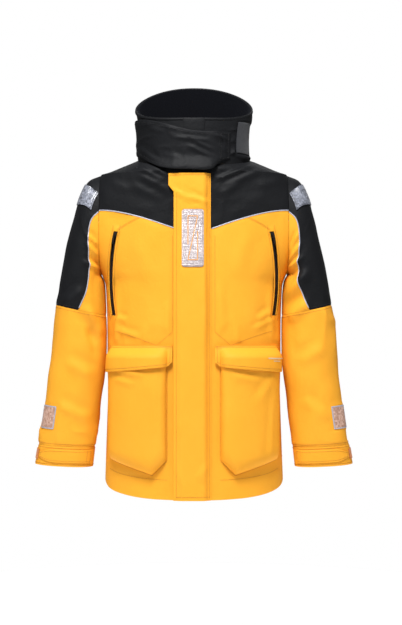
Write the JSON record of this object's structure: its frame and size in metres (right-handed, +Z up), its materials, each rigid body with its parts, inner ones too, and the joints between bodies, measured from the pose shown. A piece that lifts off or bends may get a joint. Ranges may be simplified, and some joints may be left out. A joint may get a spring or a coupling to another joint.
{
  "type": "foul weather jacket",
  "caption": "High-collared sailing jacket shell with storm flap over a front zip, chest and cargo pockets, face flap and tabbed cuffs.",
  "frame": {"origin": "where the jacket sits on the wearer's shoulders, on the middle plane, level with the base of the neck", "axes": "+Z up, the front faces -Y, +X is the wearer's left"},
  "size_m": [0.752, 0.2966, 0.9821],
  "materials": {
    "shell_yellow": "coated nylon, fine weave, soft sheen",
    "shell_black": "coated nylon, fine weave, matt",
    "inner_cuff": "coated stretch cloth",
    "reflective": "prismatic retroreflective film",
    "fleece": "short pile",
    "hook_and_loop": "brushed loop and moulded hook tape",
    "pocket_mesh": "knitted mesh",
    "zip_tape": "woven tape with moulded teeth",
    "moulded_nylon": "satin moulded",
    "webbing": "woven tape",
    "dark_steel": "dark plated"
  },
  "bodies": {
    "jacket_body": {"front_panel_left": "shell_yellow", "front_panel_right": "shell_yellow", "cargo_pouch_left": "shell_yellow", "cargo_pouch_right": "shell_yellow", "back_panel": "shell_yellow", "yoke_front_left": "shell_black", "yoke_front_right": "shell_black", "yoke_back": "shell_black", "collar_shell": "shell_black", "chin_guard": "shell_black", "gutter_flap": "shell_black", "yoke_piping_left": "reflective", "yoke_piping_right": "reflective", "collar_lining": "fleece", "collar_loop_patch": "hook_and_loop", "storm_flap_loop": "hook_and_loop", "chest_pocket_bag_left": "pocket_mesh", "chest_pocket_bag_right": "pocket_mesh", "back_lining": "pocket_mesh", "main_zip_left": "zip_tape", "main_zip_right": "zip_tape", "chest_zip_inner_left": "zip_tape", "chest_zip_inner_right": "zip_tape", "chest_zip_outer_left": "zip_tape", "chest_zip_outer_right": "zip_tape", "main_zip_box": "moulded_nylon", "hanger_loop": "webbing", "collar_ring": "dark_steel"},
    "storm_flap_body": {"storm_flap": "shell_yellow", "storm_flap_patch": "reflective", "storm_flap_hook": "hook_and_loop"},
    "main_slider_body": {"main_zip_slider": "moulded_nylon"},
    "main_pull_body": {"main_zip_pull": "moulded_nylon"},
    "face_flap_body": {"face_flap": "shell_black"},
    "chest_slider_left_body": {"chest_zip_slider_left": "moulded_nylon"},
    "chest_pull_left_body": {"chest_zip_pull_left": "moulded_nylon"},
    "cargo_flap_left_body": {"cargo_flap_left": "shell_yellow"},
    "cuff_tab_left_body": {"cuff_tab_left": "shell_yellow"},
    "sleeve_left_body": {"sleeve_upper_left": "shell_black", "sleeve_under_left": "shell_yellow", "sleeve_lower_left": "shell_yellow", "sleeve_piping_left": "reflective", "shoulder_patch_left": "reflective", "cuff_patch_left": "reflective", "cuff_band_left": "shell_yellow", "cuff_loop_left": "hook_and_loop", "inner_cuff_left": "inner_cuff"},
    "chest_slider_right_body": {"chest_zip_slider_right": "moulded_nylon"},
    "chest_pull_right_body": {"chest_zip_pull_right": "moulded_nylon"},
    "cargo_flap_right_body": {"cargo_flap_right": "shell_yellow"},
    "cuff_tab_right_body": {"cuff_tab_right": "shell_yellow"},
    "sleeve_right_body": {"sleeve_upper_right": "shell_black", "sleeve_under_right": "shell_yellow", "sleeve_lower_right": "shell_yellow", "sleeve_piping_right": "reflective", "shoulder_patch_right": "reflective", "cuff_patch_right": "reflective", "cuff_band_right": "shell_yellow", "cuff_loop_right": "hook_and_loop", "inner_cuff_right": "inner_cuff"}
  },
  "joints": [
    {"name": "storm_flap_hinge", "type": "hinge", "parent": "jacket_body", "child": "storm_flap_body", "pos_m": [0.039, -0.13809, -0.39951], "axis": [0, 0.0492, 0.9988], "range_deg": [0, 100]},
    {"name": "main_zip_slide", "type": "slide", "parent": "jacket_body", "child": "main_slider_body", "axis": [0, 0.0492, 0.9988], "range_m": [-0.8, 0]},
    {"name": "main_pull_hinge", "type": "hinge", "parent": "main_slider_body", "child": "main_pull_body", "pos_m": [0, -0.10893, 0.04809], "axis": [-1, 0, 0], "range_deg": [0, 10]},
    {"name": "face_flap_hinge", "type": "hinge", "parent": "jacket_body", "child": "face_flap_body", "pos_m": [0.08639, -0.09085, 0.035], "axis": [0, 0.0492, 0.9988], "range_deg": [0, 100]},
    {"name": "chest_zip_turn_left", "type": "hinge", "parent": "jacket_body", "child": "chest_slider_left_body", "pos_m": [-0.13392, -0.31075, -0.31417], "axis": [-0.5973, 0.7934, 0.1169], "range_deg": [0, 24.6]},
    {"name": "chest_pull_hinge_left", "type": "hinge", "parent": "chest_slider_left_body", "child": "chest_pull_left_body", "pos_m": [0.18524, -0.09615, -0.17329], "axis": [-0.716, -0.6016, -0.3543], "range_deg": [0, 70]},
    {"name": "cargo_flap_hinge_left", "type": "hinge", "parent": "jacket_body", "child": "cargo_flap_left_body", "pos_m": [0.05911, -0.15112, -0.429], "axis": [-0.886, -0.4636, 0], "range_deg": [0, 60]},
    {"name": "sleeve_lift_left", "type": "hinge", "parent": "jacket_body", "child": "sleeve_left_body", "pos_m": [0.2226, 0, -0.024], "axis": [0, -1, 0], "range_deg": [0, 35]},
    {"name": "cuff_tab_hinge_left", "type": "hinge", "parent": "sleeve_left_body", "child": "cuff_tab_left_body", "pos_m": [0.24215, -0.06128, -0.69246], "axis": [0.1128, -0.0272, -0.9933], "range_deg": [0, 60]},
    {"name": "chest_zip_turn_right", "type": "hinge", "parent": "jacket_body", "child": "chest_slider_right_body", "pos_m": [0.13392, -0.31075, -0.31417], "axis": [-0.5973, -0.7934, -0.1169], "range_deg": [0, 24.6]},
    {"name": "chest_pull_hinge_right", "type": "hinge", "parent": "chest_slider_right_body", "child": "chest_pull_right_body", "pos_m": [-0.18524, -0.09615, -0.17329], "axis": [-0.716, 0.6016, 0.3543], "range_deg": [0, 70]},
    {"name": "cargo_flap_hinge_right", "type": "hinge", "parent": "jacket_body", "child": "cargo_flap_right_body", "pos_m": [-0.05911, -0.15112, -0.429], "axis": [-0.886, 0.4636, 0], "range_deg": [0, 60]},
    {"name": "sleeve_lift_right", "type": "hinge", "parent": "jacket_body", "child": "sleeve_right_body", "pos_m": [-0.2226, 0, -0.024], "axis": [0, 1, 0], "range_deg": [0, 35]},
    {"name": "cuff_tab_hinge_right", "type": "hinge", "parent": "sleeve_right_body", "child": "cuff_tab_right_body", "pos_m": [-0.24215, -0.06128, -0.69246], "axis": [0.1128, 0.0272, 0.9933], "range_deg": [0, 60]}
  ]
}
